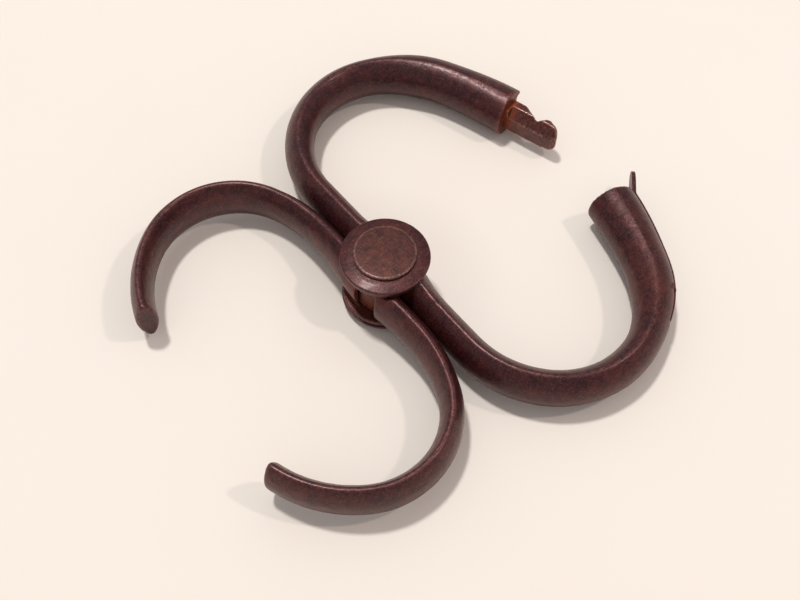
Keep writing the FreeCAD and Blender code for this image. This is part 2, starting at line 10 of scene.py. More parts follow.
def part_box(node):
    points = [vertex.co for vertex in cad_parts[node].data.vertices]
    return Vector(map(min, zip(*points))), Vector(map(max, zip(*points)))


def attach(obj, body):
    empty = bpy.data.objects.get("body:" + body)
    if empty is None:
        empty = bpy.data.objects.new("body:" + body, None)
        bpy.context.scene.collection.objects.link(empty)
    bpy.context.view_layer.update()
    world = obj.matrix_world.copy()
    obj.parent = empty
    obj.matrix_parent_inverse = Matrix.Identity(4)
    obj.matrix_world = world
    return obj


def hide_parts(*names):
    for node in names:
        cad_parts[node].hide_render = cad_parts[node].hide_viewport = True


# Rigid scissor handcuffs, open on a pale cloth. Shapes are worked out in millimetres in the shared frame
# and scaled to metres when a mesh is made.

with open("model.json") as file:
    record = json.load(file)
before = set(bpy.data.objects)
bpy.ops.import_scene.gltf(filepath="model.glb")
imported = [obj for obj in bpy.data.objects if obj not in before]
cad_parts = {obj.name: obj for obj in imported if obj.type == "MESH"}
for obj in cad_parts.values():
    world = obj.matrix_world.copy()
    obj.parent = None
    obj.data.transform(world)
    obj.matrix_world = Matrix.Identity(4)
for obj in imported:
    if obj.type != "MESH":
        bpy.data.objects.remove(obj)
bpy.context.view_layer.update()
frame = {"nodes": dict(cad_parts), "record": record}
MM = 0.001

# ---------------------------------------------------------------- sizes shared with the frame (mm)


def box_mm(node):
    low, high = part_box(node)
    return low / MM, high / MM


COLLAR_HIGH = box_mm("pivot_collar")[1]
FLANGE_LOW, FLANGE_HIGH = box_mm("flange_washer_top")
LEVER_LOW, LEVER_HIGH = box_mm("latch_lever")

TOP_Z = box_mm("pivot_pin")[1].z
MID_Z = TOP_Z / 2
HEAD_RADIUS = COLLAR_HIGH.x
HEAD_THICK = COLLAR_HIGH.z
FLANGE_RADIUS = FLANGE_HIGH.x
FLANGE_THICK = FLANGE_HIGH.z - FLANGE_LOW.z
FLANGE_RIM = 0.7
PIN_RADIUS = 3.6
RUNNING_CLEARANCE = 0.06
EAR_RADIUS = 11.2
EAR_THICK = 1.6
SPACER_THICK = 0.4
EYE_RADIUS = 8.3
EYE_GAP = 0.35
EAR_GAP = 0.05
EAR_LOW = HEAD_THICK + FLANGE_THICK
EYE_ROOM_LOW = EAR_LOW + EAR_THICK
EYE_LOW = EYE_ROOM_LOW + SPACER_THICK + EAR_GAP
EYE_HALF = MID_Z - EYE_ROOM_LOW

SMALL_START = -5.6
SMALL_STRAIGHT = 19.0
SMALL_ARCS = [(40.7, 25.0), (21.8, 98.0), (33.0, 42.0)]
LARGE_START = 2.0
LARGE_STRAIGHT = 30.5
LARGE_ARCS = [(28.0, 46.0), (25.0, 68.0), (32.0, 41.0), (108.0, 13.0)]
HALF_HEIGHT = 6.8
ROOT_HALF_HEIGHT = MID_Z - HEAD_THICK - FLANGE_THICK - 0.2
SMALL_HALF_WIDTH = [(0, 4.1), (16, 3.4), (48, 3.0), (98, 2.9)]
LARGE_HALF_WIDTH = [(0, 5.3), (17, 4.0), (55, 4.1), (79, 4.3), (102, 5.8), (126, 6.6)]
PLAIN_HEIGHT = [(0, HALF_HEIGHT), (80, HALF_HEIGHT), (126, 6.9)]
FORKED_HEIGHT = [(0, ROOT_HALF_HEIGHT), (11, ROOT_HALF_HEIGHT), (23, HALF_HEIGHT)] + PLAIN_HEIGHT[1:]
SMALL_LEAN = [(0, 0.7), (16, 0)]
LARGE_LEAN = [(0, -1.25), (17, 0)]
SMALL_CREST = [(0, 1.0), (98, 1.0)]
LARGE_CREST = [(0, 1.0), (80, 1.0), (126, 3.0)]
SMALL_TIP_ROUND = 0.9
STOP_REACH = 22.0
STOP_START = 160

FACE_ANGLE = 18.2
CLOSING_ANGLE = 36.0
ROOT_ANGLE = 0.7
TONGUE_INSIDE = 61.3
TONGUE_OUTSIDE = 66.3
TONGUE_HEIGHT = 7.4
TONGUE_LENGTH = 16.6
TONGUE_TAPER = 1.3
TAPER_START = 6.0
NOTCH_DEPTH = 2.3
SOCKET_GAP = 0.3
LOCK_RADIUS = (TONGUE_INSIDE + TONGUE_OUTSIDE) / 2
TOOTH_SPAN = (5.0, 9.0)
TOOTH_WIDTH = 4.0
LEVER_LENGTH = 30.0
LEVER_TAIL = 8.0
LEVER_THICK = 1.4
LEVER_WIDTH = LEVER_HIGH.z - LEVER_LOW.z
LEVER_PROUD = 0.2
LEVER_TAIL_SUNK = 0.4
LEVER_GAP = 0.2
LEVER_TRAVEL = 3.6
KNUCKLE_RADIUS = 1.6
KNUCKLE_DROP = 1.6
LATCH_PIN_RADIUS = 0.8
LATCH_PIN_HALF = 4.2
TAB_BEND = 1.5
TAB_LENGTH = 7.4
TAB_RISE = 4.2
TAB_GAP = 0.35
TAB_RELIEF_DEPTH = 2.5
TAB_RELIEF_LENGTH = 8
POCKET_FLOOR = -2.9
CLEAR_OF_ARM = 6
BEVEL_DROP = 2.5
BEVEL_WIDTH = 2.7
NIB_START = 12.6
NIB_ROUND = 2.6
TONGUE_PIN_RADIUS = 1.1
TONGUE_PIN_INSETS = (3.2, 7.4)

# ---------------------------------------------------------------- plan geometry


def polar(radius, degrees):
    angle = math.radians(degrees)
    return radius * math.cos(angle), radius * math.sin(angle)


def between(table, distance):
    """A smooth value between the rows (distance, value) of a short table."""
    if distance <= table[0][0]:
        return table[0][1]
    for (start, low), (end, high) in zip(table, table[1:]):
        if distance <= end:
            part = (distance - start) / (end - start)
            return low + (high - low) * (1 - math.cos(math.pi * part)) / 2
    return table[-1][1]


def path_point(start_x, straight, arcs, left, distance):
    """The point and heading (radians) of an arm's middle line, for an arm above the X axis."""
    x, y, heading = start_x, min(distance, straight), math.pi / 2
    rest = distance - straight
    side = 1 if left else -1
    for radius, turn in arcs:
        if rest <= 0:
            break
        swept = side * min(math.radians(turn), rest / radius)
        x += side * radius * (math.sin(heading + swept) - math.sin(heading))
        y -= side * radius * (math.cos(heading + swept) - math.cos(heading))
        heading += swept
        rest -= radius * math.radians(turn)
    return x, y, heading


def small_point(distance):
    return path_point(SMALL_START, SMALL_STRAIGHT, SMALL_ARCS, True, distance)


def large_point(distance):
    return path_point(LARGE_START, LARGE_STRAIGHT, LARGE_ARCS, False, distance)


def path_length(straight, arcs):
    return straight + sum(radius * math.radians(turn) for radius, turn in arcs)


SMALL_LENGTH = path_length(SMALL_STRAIGHT, SMALL_ARCS)
LARGE_LENGTH = path_length(LARGE_STRAIGHT, LARGE_ARCS)


def offset_point(place, across):
    """A point beside an arm's middle line, on its left if across is positive."""
    x, y, heading = place
    return x - across * math.sin(heading), y + across * math.cos(heading)


def face_distance(across):
    """How far along the large arm the line at this offset meets the end face's plane."""
    low, high = LARGE_LENGTH - 20, LARGE_LENGTH + 6
    for _ in range(40):
        middle = (low + high) / 2
        x, y = offset_point(large_point(middle), across)
        if math.degrees(math.atan2(y, x)) > FACE_ANGLE:
            low = middle
        else:
            high = middle
    return (low + high) / 2


FACE_DISTANCE = face_distance(0)
PIVOT_DISTANCE = FACE_DISTANCE - LEVER_LENGTH


def along(distance):
    """The angle that an arc length along the tongue's circle spans."""
    return math.degrees(distance / LOCK_RADIUS)


def tongue_angle(distance):
    return FACE_ANGLE - along(distance)


def socket_angle(depth):
    return -FACE_ANGLE - along(depth)


def flank(distance, offset):
    """A point on the socket arm's outer flank, moved outwards by offset."""
    place = large_point(distance)
    x, y = offset_point(place, between(LARGE_HALF_WIDTH, distance) + offset)
    return Vector((x, -y))


def flank_normal(distance):
    heading = large_point(distance)[2]
    return Vector((-math.sin(heading), -math.cos(heading)))


def flank_line(start, end, offset_start, offset_end, count):
    """Points along the outer flank, from start to end."""
    points = []
    for index in range(count):
        part = index / (count - 1)
        offset = offset_start + (offset_end - offset_start) * part
        points.append(flank(start + (end - start) * part, offset))
    return points


KNUCKLE = flank(PIVOT_DISTANCE, -KNUCKLE_DROP)
LEVER_UNDER = LEVER_PROUD - LEVER_THICK

# ---------------------------------------------------------------- mesh tools


def new_piece(name, points, faces):
    """A mesh object from points in millimetres."""
    mesh = bpy.data.meshes.new(name)
    mesh.from_pydata([Vector(point) * MM for point in points], [], faces)
    mesh.update()
    work = bmesh.new()
    work.from_mesh(mesh)
    bmesh.ops.recalc_face_normals(work, faces=work.faces)
    work.to_mesh(mesh)
    work.free()
    piece = bpy.data.objects.new(name, mesh)
    bpy.context.scene.collection.objects.link(piece)
    return piece


def tube(name, rings):
    """A closed solid through rings of equal point counts, capped with a fan at both ends."""
    count = len(rings[0])
    points = [point for ring in rings for point in ring]
    faces = []
    for row in range(len(rings) - 1):
        base = row * count
        for index in range(count):
            after = (index + 1) % count
            faces.append((base + index, base + after, base + count + after, base + count + index))
    for row in (0, len(rings) - 1):
        centre = sum((Vector(point) for point in rings[row]), Vector((0, 0, 0))) / count
        points.append(centre)
        base = row * count
        faces += [(base + index, base + (index + 1) % count, len(points) - 1) for index in range(count)]
    return new_piece(name, points, faces)


def prism(name, outline, low, high):
    """A plan outline as a solid between two heights."""
    return bridged(name, [(x, y, low) for x, y in outline], [(x, y, high) for x, y in outline])


def bridged(name, near, far):
    """A solid between two matching outlines."""
    count = len(near)
    faces = [tuple(range(count)), tuple(range(count, 2 * count))]
    for index in range(count):
        after = (index + 1) % count
        faces.append((index, after, count + after, count + index))
    return new_piece(name, near + far, faces)


def lathe(name, profile, segments=144):
    """A solid of revolution about the pivot axis, from (radius, height) corners going outwards round."""
    rings = []
    for radius, height in profile:
        ring = []
        for index in range(segments):
            x, y = polar(max(radius, 0.01), 360 * index / segments)
            ring.append((x, y, height))
        rings.append(ring)
    return tube(name, rings)


def washer(name, profile, segments=144):
    """A solid of revolution with a hole: the profile closes on itself."""
    count = len(profile)
    points = []
    faces = []
    for step in range(segments):
        for radius, height in profile:
            x, y = polar(radius, 360 * step / segments)
            points.append((x, y, height))
        after = (step + 1) % segments
        for index in range(count):
            corner = (index + 1) % count
            faces.append((step * count + index, step * count + corner,
                          after * count + corner, after * count + index))
    return new_piece(name, points, faces)


def drum(name, radius, low, high, centre=(0, 0), segments=96):
    outline = [(centre[0] + x, centre[1] + y)
               for x, y in (polar(radius, 360 * index / segments) for index in range(segments))]
    return prism(name, outline, low, high)


def sector(name, inside, outside, start, end, height):
    """A sector of a ring about the pivot axis, centred on the middle height."""
    count = max(4, int(abs(end - start) / 3))
    angles = [start + (end - start) * index / count for index in range(count + 1)]
    outline = [polar(outside, angle) for angle in angles]
    outline += [polar(inside, angle) for angle in reversed(angles)]
    return prism(name, outline, MID_Z - height / 2, MID_Z + height / 2)


def applied(piece):
    """The piece with its modifiers made real."""
    depsgraph = bpy.context.evaluated_depsgraph_get()
    mesh = bpy.data.meshes.new_from_object(piece.evaluated_get(depsgraph))
    mesh.name = piece.name
    old = piece.data
    piece.modifiers.clear()
    piece.data = mesh
    bpy.data.meshes.remove(old)
    return piece


def combined(piece, others, operation):
    """The piece joined with, or less, each of the others, which are used up."""
    for other in others:
        step = piece.modifiers.new(operation.lower(), "BOOLEAN")
        step.operation = operation
        step.solver = "EXACT"
        step.object = other
    applied(piece)
    for other in others:
        bpy.data.objects.remove(other)
    return piece


def remeshed(piece, voxel, passes):
    """Even quads over the whole surface, which softens each edge as wear does."""
    grid = piece.modifiers.new("grid", "REMESH")
    grid.mode = "VOXEL"
    grid.voxel_size = voxel * MM
    grid.use_smooth_shade = True
    if passes:
        soften = piece.modifiers.new("soften", "SMOOTH")
        soften.factor = 0.5
        soften.iterations = passes
    return applied(piece)


def melted(piece, where, passes):
    """Soften only the points where a test holds, where forging or wear has rounded a shape off."""
    work = bmesh.new()
    work.from_mesh(piece.data)
    chosen = [vert for vert in work.verts if where(vert.co / MM)]
    for _ in range(passes):
        bmesh.ops.smooth_vert(work, verts=chosen, factor=0.5, use_axis_x=True, use_axis_y=True,
                              use_axis_z=True)
    work.to_mesh(piece.data)
    work.free()
    return piece


def surface(mesh):
    """The points of a mesh and their normals, as two arrays of rows."""
    places = np.empty(len(mesh.vertices) * 3)
    mesh.vertices.foreach_get("co", places)
    normals = np.empty(len(mesh.vertices) * 3)
    mesh.vertex_normals.foreach_get("vector", normals)
    return places.reshape(-1, 3), normals.reshape(-1, 3)


def dented(piece, swell, hammer, pit, seed):
    """Move the surface inwards a little: broad forging unevenness, hammer marks and rust pits."""
    mesh = piece.data
    count = len(mesh.vertices)
    places, normals = surface(mesh)
    shift = Vector((seed * 17.3, seed * 5.1, seed * 9.7))
    depth = np.empty(count)
    for index in range(count):
        spot = Vector(places[index] / MM) + shift
        broad = 0.5 + 0.5 * noise.noise(spot * 0.09)
        beaten = abs(noise.noise(spot * 0.33))
        fine = noise.noise(spot * 1.1)
        pitted = max(0.0, fine - 0.38) * 1.6
        depth[index] = swell * broad + hammer * beaten + pit * pitted
    places -= normals * (depth * MM)[:, None]
    mesh.vertices.foreach_set("co", places.ravel())
    mesh.update()
    return piece


def cleared(piece):
    """Press in the arm's root where the other bow's root comes to lie when the cuffs are closed."""
    limit = EYE_RADIUS + EYE_GAP - 0.05
    low = EYE_ROOM_LOW + 0.1
    widest_turn = FACE_ANGLE + 1.5
    for vert in piece.data.vertices:
        x, y, z = vert.co / MM
        radius = math.hypot(x, y)
        turn = abs(math.degrees(math.atan2(y, x)))
        if low < z < TOP_Z - low and limit < radius < STOP_REACH and turn < widest_turn:
            vert.co.x *= limit / radius
            vert.co.y *= limit / radius
    piece.data.update()
    return piece


def point_values(piece, name, values):
    layer = piece.data.attributes.new(name, "FLOAT", "POINT")
    layer.data.foreach_set("value", np.asarray(values, np.float32))


def edge_values(piece, low, high):
    """1 on sharp outer edges and 0 on flat or hollow stretches, from the mesh itself."""
    mesh = piece.data
    count = len(mesh.vertices)
    places, normals = surface(mesh)
    links = np.empty(len(mesh.edges) * 2, np.int64)
    mesh.edges.foreach_get("vertices", links)
    first, second = links.reshape(-1, 2).T
    step = places[second] - places[first]
    step /= np.maximum(np.linalg.norm(step, axis=1), 1e-9)[:, None]
    bend = np.zeros(count)
    degree = np.zeros(count)
    np.add.at(bend, first, -np.sum(step * normals[first], axis=1))
    np.add.at(bend, second, np.sum(step * normals[second], axis=1))
    np.add.at(degree, first, 1)
    np.add.at(degree, second, 1)
    bend /= np.maximum(degree, 1)
    for _ in range(3):
        total = bend.copy()
        np.add.at(total, first, bend[second])
        np.add.at(total, second, bend[first])
        bend = total / (degree + 1)
    point_values(piece, "edge", np.clip((bend - low) / (high - low), 0, 1))
    point_values(piece, "hollow", np.clip((-bend - low) / (high - low), 0, 1))
    return places / MM


# ---------------------------------------------------------------- forged arms

FLANK_POINTS = 22
CREST_POINTS = 9
RING_STEP = 1.1
END_RUN = 14.0
ROOT_OVERLAP = 0.4
ROOM_OVERLAP = 0.05
RIDGE = 0.06
RIDGE_FROM = 1.0
RIDGE_REACH = 2.2


def section(half_width, half_height, crest):
    """An arm's section as (across, up) points: two flank arcs that meet in rounded crests.

    A wide crest also gets a faint ridge along its middle.
    """
    top = half_height - crest
    radius = (half_width ** 2 + top ** 2 - crest ** 2) / (2 * (half_width - crest))
    lean = math.atan2(top, radius - half_width)
    points = []
    for side in (1, -1):
        for index in range(FLANK_POINTS):
            angle = lean * (2 * index / FLANK_POINTS - 1)
            points.append((side * (half_width - radius + radius * math.cos(angle)),
                           side * radius * math.sin(angle)))
        for index in range(CREST_POINTS):
            angle = lean + (math.pi - 2 * lean) * index / CREST_POINTS
            points.append((side * crest * math.cos(angle), side * (top + crest * math.sin(angle))))
    ridge = RIDGE * (crest - RIDGE_FROM)
    ridged = []
    for across, up in points:
        lowered = ridge * abs(across) * math.exp(-abs(across) / RIDGE_REACH) * (up / half_height) ** 3
        ridged.append((across, up - lowered))
    return ridged


def placed(place, across, up, mirror):
    x, y = offset_point(place, across)
    return x, mirror * y, MID_Z + up


def small_arm(heights, mirror):
    """The small arm, with a rounded tip."""
    rings = []
    steps = round((SMALL_LENGTH - SMALL_TIP_ROUND) / RING_STEP)
    for step in range(steps + 1):
        distance = (SMALL_LENGTH - SMALL_TIP_ROUND) * step / steps
        shape = section(between(SMALL_HALF_WIDTH, distance), between(heights, distance),
                        between(SMALL_CREST, distance))
        lean = between(SMALL_LEAN, distance)
        rings.append([placed(small_point(distance), across + lean, up, mirror) for across, up in shape])
    width = between(SMALL_HALF_WIDTH, SMALL_LENGTH)
    for step in range(1, 6):
        turn = math.pi / 2 * step / 5
        inset = SMALL_TIP_ROUND * (1 - math.cos(turn))
        distance = SMALL_LENGTH - SMALL_TIP_ROUND * (1 - math.sin(turn))
        shape = section(width - inset, HALF_HEIGHT - inset, 1.0)
        rings.append([placed(small_point(distance), across, up, mirror) for across, up in shape])
    return tube("small_arm", rings)


def large_arm(heights, mirror):
    """The large arm, whose end face lies in a plane through the pivot axis."""
    rings = []
    run_start = FACE_DISTANCE - END_RUN
    steps = round(run_start / RING_STEP)
    for step in range(steps + 1):
        distance = run_start * step / steps - ROOT_OVERLAP * (1 - step / steps)
        shape = section(between(LARGE_HALF_WIDTH, distance), between(heights, distance),
                        between(LARGE_CREST, distance))
        lean = between(LARGE_LEAN, distance)
        rings.append([placed(large_point(distance), across + lean, up, mirror) for across, up in shape])
    end_steps = round(END_RUN / RING_STEP)
    for step in range(1, end_steps + 1):
        part = step / end_steps
        nominal = run_start + END_RUN * part
        shape = section(between(LARGE_HALF_WIDTH, nominal), between(heights, nominal),
                        between(LARGE_CREST, nominal))
        ring = []
        for across, up in shape:
            distance = run_start + (face_distance(across) - run_start) * part
            ring.append(placed(large_point(distance), across, up, mirror))
        rings.append(ring)
    return tube("large_arm", rings)


# ---------------------------------------------------------------- the two bows

BOW_VOXEL = 0.34
BOW_SOFTENING = 3
BEYOND = 3.0
FLOW_INSIDE = 9.2
FLOW_OUTSIDE = 19.0
EYE_FLOW_OUTSIDE = 12


def flows_into_disc(spot, low, high):
    """Whether a point is where an arm meets its disc, clear of the faces that others lie against."""
    radius = math.hypot(spot.x, spot.y)
    return FLOW_INSIDE < radius < FLOW_OUTSIDE and low < spot.z < high


def inner_bow():
    """The bow with the middle eye, the tongue's arm and the lower small arm."""
    bow = large_arm(PLAIN_HEIGHT, 1)
    bow.name = "inner_bow_forging"
    eye = drum("eye", EYE_RADIUS, EYE_LOW, TOP_Z - EYE_LOW)
    combined(bow, [small_arm(PLAIN_HEIGHT, -1), eye], "UNION")
    ear_room = EAR_RADIUS + EYE_GAP
    cuts = [
        drum("room", ear_room, -BEYOND, EYE_LOW),
        drum("room", ear_room, TOP_Z - EYE_LOW, TOP_Z + BEYOND),
        drum("bore", PIN_RADIUS + RUNNING_CLEARANCE, -BEYOND, TOP_Z + BEYOND),
        sector("stop", EYE_RADIUS, STOP_REACH, STOP_START, 180 + CLOSING_ANGLE + ROOT_ANGLE, 2 * TOP_Z),
        tab_relief(),
    ] + tongue_pin_holes()
    combined(bow, cuts, "DIFFERENCE")
    remeshed(bow, BOW_VOXEL, BOW_SOFTENING)
    melted(bow, lambda spot: flows_into_disc(spot, EYE_LOW + 0.6, TOP_Z - EYE_LOW - 0.6)
           and math.hypot(spot.x, spot.y) < EYE_FLOW_OUTSIDE, 4)
    return bow


def eye_room():
    """The space between the ears, which reaches just into them."""
    low = EYE_ROOM_LOW - ROOM_OVERLAP
    return drum("room", EYE_RADIUS + EYE_GAP, low, TOP_Z - low)


def fork_bow():
    """The bow with the two ears, the socket's arm and the upper small arm."""
    bow = combined(large_arm(FORKED_HEIGHT, -1), [eye_room()], "DIFFERENCE")
    bow.name = "fork_bow_forging"
    upper_arm = combined(small_arm(FORKED_HEIGHT, 1), [eye_room()], "DIFFERENCE")
    ears = [drum("ear", EAR_RADIUS, EAR_LOW, EYE_ROOM_LOW),
            drum("ear", EAR_RADIUS, TOP_Z - EYE_ROOM_LOW, TOP_Z - EAR_LOW)]
    combined(bow, ears + [upper_arm], "UNION")
    cuts = [
        drum("bore", PIN_RADIUS, -BEYOND, TOP_Z + BEYOND),
        tongue_socket(),
        lever_pocket(),
        knuckle_seat(),
        sector("window", LOCK_RADIUS, TONGUE_OUTSIDE + 3.3, socket_angle(TOOTH_SPAN[1]),
               socket_angle(TOOTH_SPAN[0]), TOOTH_WIDTH + 2 * LEVER_GAP),
    ]
    combined(bow, cuts, "DIFFERENCE")
    remeshed(bow, BOW_VOXEL, BOW_SOFTENING)
    melted(bow, lambda spot: flows_into_disc(spot, EAR_LOW + 0.3, EYE_ROOM_LOW - 0.3)
           or flows_into_disc(spot, TOP_Z - EYE_ROOM_LOW + 0.3, TOP_Z - EAR_LOW - 0.3), 5)
    return bow


def tongue_socket():
    """The tongue's room in the socket arm, tapered like the tongue."""
    deep = TONGUE_LENGTH + 0.7
    inside = TONGUE_INSIDE - SOCKET_GAP
    outline = arc_points(TONGUE_OUTSIDE + SOCKET_GAP, socket_angle(deep), socket_angle(-3), 9)
    outline += arc_points(inside, socket_angle(-3), socket_angle(TAPER_START), 5)
    outline.append(polar(inside + TONGUE_TAPER, socket_angle(deep)))
    half = TONGUE_HEIGHT / 2 + SOCKET_GAP
    return prism("socket", outline, MID_Z - half, MID_Z + half)


def lever_pocket():
    """The recess that the lever, its spring and its knuckle lie in."""
    tail = PIVOT_DISTANCE - LEVER_TAIL - 2 * LEVER_GAP
    front = FACE_DISTANCE + 4
    start = PIVOT_DISTANCE + KNUCKLE_RADIUS
    floor = LEVER_UNDER - LEVER_GAP
    drop = (front - start) * math.sin(math.radians(LEVER_TRAVEL)) + 2 * LEVER_GAP
    outline = flank_line(tail, front, CLEAR_OF_ARM, CLEAR_OF_ARM, 8)
    outline += flank_line(front, start, floor - drop, floor, 10)
    outline += flank_line(PIVOT_DISTANCE, tail, POCKET_FLOOR, POCKET_FLOOR, 4)
    half = LEVER_WIDTH / 2 + LEVER_GAP
    return prism("pocket", outline, MID_Z - half, MID_Z + half)


def knuckle_seat():
    """The hollow that the lever's knuckle turns in, a little wider than the pocket."""
    half = LEVER_WIDTH / 2 + 2 * LEVER_GAP
    return drum("seat", KNUCKLE_RADIUS + 3 * LEVER_GAP, MID_Z - half, MID_Z + half, KNUCKLE, 48)


def tab_relief():
    """The slot on the upper arm's end that the thumb tab drops into when the cuffs are locked."""
    half = LEVER_WIDTH / 2 + TAB_GAP
    end = Vector(polar(flank(FACE_DISTANCE, 0).length, FACE_ANGLE))
    back = Vector(polar(1, FACE_ANGLE + 90))
    out = Vector(polar(1, FACE_ANGLE))
    inner_edge = end - out * TAB_RELIEF_DEPTH
    run_out = end + back * TAB_RELIEF_LENGTH
    outline = [inner_edge - back, inner_edge, run_out, run_out + out * 4, end - back + out * 4]
    return prism("relief", outline, MID_Z - half, MID_Z + half)


def tongue_pin_spot(inset):
    root = Vector(polar(LOCK_RADIUS, FACE_ANGLE))
    return root + Vector(polar(inset, FACE_ANGLE + 90))


def tongue_pin_holes():
    return [drum("hole", TONGUE_PIN_RADIUS, MID_Z - 10, MID_Z - 2, tongue_pin_spot(inset), 32)
            for inset in TONGUE_PIN_INSETS]


# ---------------------------------------------------------------- tongue, lever and rivets

FINE_VOXEL = 0.16
DISC_VOXEL = 0.2
PIN_VOXEL = 0.12
NIB_PASSES = 40


def arc_points(radius, start, end, count):
    return [polar(radius, start + (end - start) * index / (count - 1)) for index in range(count)]


def tongue():
    """The notched tongue, worn round at its nib and bevelled along its upper inner edge."""
    floor = TONGUE_OUTSIDE - NOTCH_DEPTH
    outline = arc_points(TONGUE_OUTSIDE, tongue_angle(-2.5), tongue_angle(4.0), 7)
    outline += [polar(floor + 0.9, tongue_angle(6.6)), polar(floor + 0.1, tongue_angle(8.4)),
                polar(floor, tongue_angle(9.1)), polar(floor + 0.5, tongue_angle(9.8)),
                polar(TONGUE_OUTSIDE - 0.4, tongue_angle(10.9)), polar(TONGUE_OUTSIDE, tongue_angle(12.0)),
                polar(TONGUE_OUTSIDE - 0.2, tongue_angle(13.4)),
                polar(TONGUE_OUTSIDE - 0.8, tongue_angle(15.0)),
                polar(TONGUE_OUTSIDE - 1.9, tongue_angle(16.2)),
                polar(LOCK_RADIUS - 0.4, tongue_angle(TONGUE_LENGTH)),
                polar(TONGUE_INSIDE + TONGUE_TAPER, tongue_angle(TONGUE_LENGTH - 0.9))]
    outline += arc_points(TONGUE_INSIDE, tongue_angle(TAPER_START), tongue_angle(-2.5), 6)
    half = TONGUE_HEIGHT / 2
    bar = prism("locking_tongue", outline, MID_Z - half, MID_Z + half)
    combined(bar, [tongue_bevel(half)] + nib_trimmers(half), "DIFFERENCE")
    remeshed(bar, FINE_VOXEL, 9)
    nib_angle = tongue_angle(NIB_START)
    return melted(bar, lambda spot: math.degrees(math.atan2(spot.y, spot.x)) < nib_angle, NIB_PASSES)


def nib_trimmers(half):
    """Cutters that round the nib off above and below."""
    cutters = []
    for side in (1, -1):
        corners = [(1, half + 1), (-NIB_ROUND, half + 1)]
        for index in range(9):
            turn = math.pi / 2 * (1 - index / 8)
            corners.append((NIB_ROUND * (math.cos(turn) - 1), half + NIB_ROUND * (math.sin(turn) - 1)))
        corners.append((1, half - NIB_ROUND))
        outlines = [[polar(radius, tongue_angle(TONGUE_LENGTH + reach)) + (MID_Z + side * up,)
                     for reach, up in corners] for radius in (TONGUE_INSIDE - 1, TONGUE_OUTSIDE + 1)]
        cutters.append(bridged("trim", *outlines))
    return cutters


def tongue_bevel(half):
    """A wedge that bevels the tongue's upper inner edge, from just out of the arm to the nib."""
    rings = []
    for index in range(12):
        distance = 0.9 + (TONGUE_LENGTH + 1) * index / 11
        tapered = max(0.0, distance - TAPER_START) / (TONGUE_LENGTH - TAPER_START)
        inside = TONGUE_INSIDE + TONGUE_TAPER * tapered
        corners = [(inside - 1, half + 1), (inside - 1, half - BEVEL_DROP - 1.2),
                   (inside, half - BEVEL_DROP), (inside + BEVEL_WIDTH, half - 0.05),
                   (inside + BEVEL_WIDTH + 0.3, half + 1)]
        rings.append([polar(radius, tongue_angle(distance)) + (MID_Z + height,)
                      for radius, height in corners])
    return tube("bevel", rings)


def lever():
    """The strip along the outer flank, with its knuckle and bent thumb tab."""
    tail = PIVOT_DISTANCE - LEVER_TAIL
    bend = FACE_DISTANCE - TAB_BEND
    normal = flank_normal(bend)
    forward = Vector((-normal.y, normal.x))
    sweep = forward * TAB_LENGTH + normal * TAB_RISE
    lean = sweep.normalized()
    out = Vector((lean.y, -lean.x))
    tip = flank(bend, LEVER_PROUD) + sweep
    outline = flank_line(tail, bend, LEVER_PROUD - LEVER_TAIL_SUNK, LEVER_PROUD, 24)
    outline += [tip - lean * 0.3, tip - out * (LEVER_THICK * 0.3),
                tip - out * (LEVER_THICK * 0.8) - lean * 0.2]
    outline += flank_line(bend, tail, LEVER_UNDER, LEVER_UNDER, 24)
    half = LEVER_WIDTH / 2
    strip = prism("latch_strip", outline, MID_Z - half, MID_Z + half)
    knuckle = drum("knuckle", KNUCKLE_RADIUS, MID_Z - half, MID_Z + half, KNUCKLE, 40)
    combined(strip, [knuckle], "UNION")
    combined(strip, [drum("bore", LATCH_PIN_RADIUS + RUNNING_CLEARANCE, 0, TOP_Z, KNUCKLE, 24)]
             + tab_trimmers(tip, out, half), "DIFFERENCE")
    return remeshed(strip, FINE_VOXEL, 4)


def tab_trimmers(tip, out, half):
    """Cutters that round the thumb tab's corners in its own plane."""
    lean = Vector((-out.y, out.x))
    cutters = []
    for side in (1, -1):
        ring_near = []
        ring_far = []
        corner_count = 8
        points = [(0.6, side * (half + 1)), (0.6, 0)]
        for index in range(corner_count + 1):
            turn = math.pi / 2 * index / corner_count
            points.append((-half * 1.15 * (1 - math.cos(turn)), side * half * 0.92 * math.sin(turn)))
        points.append((-half * 1.15, side * (half + 1)))
        for reach, up in points:
            base = tip + lean * reach
            near = base - out * 4
            far = base + out * 4
            ring_near.append((near.x, near.y, MID_Z + up))
            ring_far.append((far.x, far.y, MID_Z + up))
        cutters.append(bridged("trim", ring_near, ring_far))
    return cutters


def rivet_head():
    """The rivet's shank and its slightly domed, hammered head."""
    crown = 0.22
    rim_wide = 0.45
    rim_high = 0.35
    low = TOP_Z - HEAD_THICK
    profile = [(0, 0.05), (PIN_RADIUS - 0.1, 0.05), (PIN_RADIUS, 0.15), (PIN_RADIUS, low),
               (HEAD_RADIUS - 0.05, low)]
    for index in range(6):
        turn = math.pi / 2 * index / 5
        profile.append((HEAD_RADIUS - rim_wide + rim_wide * math.cos(turn),
                        TOP_Z - crown - rim_high + rim_high * math.sin(turn)))
    for index in range(1, 9):
        radius = (HEAD_RADIUS - rim_wide) * (1 - index / 8)
        profile.append((radius, TOP_Z - crown * (radius / HEAD_RADIUS) ** 2))
    return remeshed(lathe("rivet_head", profile), DISC_VOXEL, 2)


def riveted_collar():
    """The ring that the shank is riveted over, under the cuffs."""
    profile = [(PIN_RADIUS, 0.0), (HEAD_RADIUS - 0.45, 0.0), (HEAD_RADIUS - 0.12, 0.15), (HEAD_RADIUS, 0.5),
               (HEAD_RADIUS, HEAD_THICK), (PIN_RADIUS, HEAD_THICK)]
    return remeshed(washer("riveted_collar", profile), DISC_VOXEL, 2)


